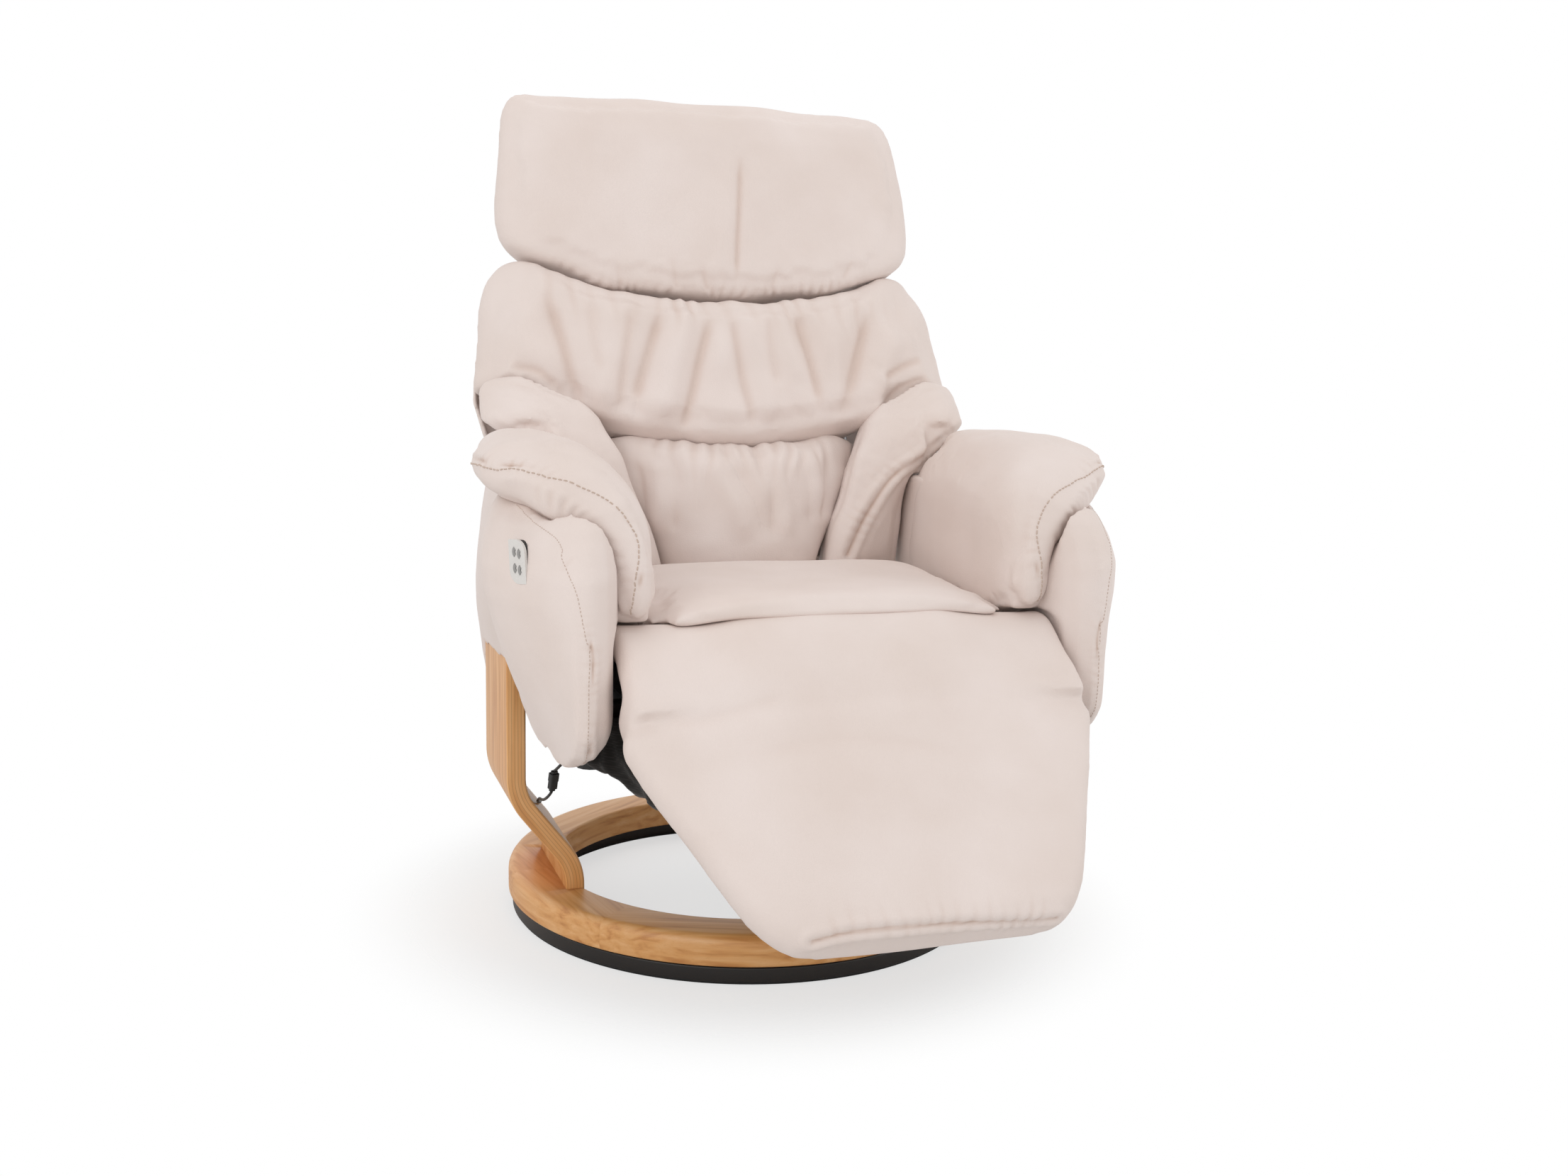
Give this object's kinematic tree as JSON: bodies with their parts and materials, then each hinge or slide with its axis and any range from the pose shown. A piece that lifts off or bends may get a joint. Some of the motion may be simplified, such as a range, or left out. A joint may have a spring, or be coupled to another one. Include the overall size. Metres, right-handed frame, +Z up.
{
  "type": "powered recliner chair",
  "caption": "Leather recliner with a tilting headrest, a powered reclining back and folding footrest, on bent oak legs and a turning oak ring base.",
  "frame": {"origin": "on the floor, under the middle of the chair's bounding box without its leads", "axes": "+Z up, the chair faces -Y, +X to the left of a person who sits in it"},
  "size_m": [0.7858, 1.0925, 1.0916],
  "materials": {
    "leather": "smooth full-grain leather",
    "oak": "lacquered oak",
    "board": "raw plywood",
    "black_steel": "satin black powder coat",
    "bright_steel": "zinc plated",
    "black_plastic": "fine texture",
    "switch_plastic": "satin light grey",
    "key_plastic": "satin grey",
    "rubber": "matte",
    "lead_rubber": "flexible cable jacket",
    "webbing": "elastic webbing",
    "lining_cloth": "matte black cloth"
  },
  "bodies": {
    "base": {"floor_pad": "rubber", "floor_ring": "black_steel", "lower_race": "bright_steel"},
    "cage": {"ball_cage": "black_plastic", "bearing_balls": "bright_steel"},
    "turntable": {"upper_race": "bright_steel", "oak_ring": "oak", "leg_right": "oak", "leg_left": "oak", "frame_bolts": "bright_steel", "side_plate_right": "black_steel", "side_plate_left": "black_steel", "seat_rails": "black_steel", "seat_webbing": "webbing", "seat_cushion": "leather", "underbody_tray": "black_plastic", "side_panel_right": "leather", "side_panel_left": "leather", "arm_box_right": "leather", "arm_box_left": "leather", "arm_pad_right": "leather", "arm_pad_left": "leather", "hinge_pins": "bright_steel", "control_box": "black_plastic", "back_motor": "black_plastic", "foot_motor": "black_plastic", "switch_plate": "switch_plastic", "switch_box": "black_plastic", "lining": "lining_cloth", "lead_gland": "black_plastic", "lead_socket": "black_plastic", "lead_plug": "black_plastic", "tail_lead": "lead_rubber", "supply_lead": "lead_rubber", "supply_coil": "lead_rubber", "plug_lead": "lead_rubber", "mains_plug": "black_plastic"},
    "backrest": {"back_brackets": "bright_steel", "back_frame": "bright_steel", "back_webbing": "webbing", "back_shell": "leather", "lumbar_cushion": "leather", "shoulder_cushion": "leather", "wing_right": "leather", "wing_left": "leather", "head_bracket": "bright_steel"},
    "back_rod": {"back_rod": "bright_steel"},
    "foot_rod": {"foot_rod": "bright_steel"},
    "headrest": {"head_pins": "bright_steel", "headrest_cushion": "leather"},
    "footrest": {"foot_arms": "bright_steel", "foot_board": "board", "footrest_pad": "leather", "knee_pad": "leather"},
    "key_back_up": {"key_back_up": "key_plastic"},
    "key_back_down": {"key_back_down": "key_plastic"},
    "key_foot_up": {"key_foot_up": "key_plastic"},
    "key_foot_down": {"key_foot_down": "key_plastic"}
  },
  "joints": [
    {"name": "swivel", "type": "hinge", "parent": "base", "child": "turntable", "pos_m": [0, 0.1575, 0.03], "axis": [0, 0, 1], "continuous": true},
    {"name": "cage_turn", "type": "hinge", "parent": "base", "child": "cage", "pos_m": [0, 0.1575, 0.023], "axis": [0, 0, 1], "continuous": true},
    {"name": "back_recline", "type": "hinge", "parent": "turntable", "child": "backrest", "pos_m": [0, 0.2775, 0.42], "axis": [-1, 0, 0], "range_deg": [0, 25]},
    {"name": "back_drive", "type": "slide", "parent": "turntable", "child": "back_rod", "axis": [0, 1, 0], "range_m": [-0.0473, 0]},
    {"name": "headrest_tilt", "type": "hinge", "parent": "backrest", "child": "headrest", "pos_m": [0, 0.3575, 0.82602], "axis": [1, 0, 0], "range_deg": [-12, 4]},
    {"name": "footrest_tilt", "type": "hinge", "parent": "turntable", "child": "footrest", "pos_m": [0, -0.1725, 0.37], "axis": [-1, 0, 0], "range_deg": [-42, 42], "deforming": ["lining"]},
    {"name": "foot_drive", "type": "slide", "parent": "turntable", "child": "foot_rod", "axis": [0, -1, 0], "range_m": [-0.0525, 0.0525]},
    {"name": "key_back_up_press", "type": "slide", "parent": "turntable", "child": "key_back_up", "axis": [0.8774, 0.4797, 0], "range_m": [0, 0.0008], "stiffness_N_per_m": 400},
    {"name": "key_back_down_press", "type": "slide", "parent": "turntable", "child": "key_back_down", "axis": [0.8774, 0.4797, 0], "range_m": [0, 0.0008], "stiffness_N_per_m": 400},
    {"name": "key_foot_up_press", "type": "slide", "parent": "turntable", "child": "key_foot_up", "axis": [0.8774, 0.4797, 0], "range_m": [0, 0.0008], "stiffness_N_per_m": 400},
    {"name": "key_foot_down_press", "type": "slide", "parent": "turntable", "child": "key_foot_down", "axis": [0.8774, 0.4797, 0], "range_m": [0, 0.0008], "stiffness_N_per_m": 400}
  ],
  "couplings": [
    {"joint": "cage_turn", "follows": "swivel", "ratio": 0.5},
    {"joint": "back_drive", "follows": "back_recline", "m_per_rad": -0.108},
    {"joint": "foot_drive", "follows": "footrest_tilt", "m_per_rad": 0.0712}
  ]
}
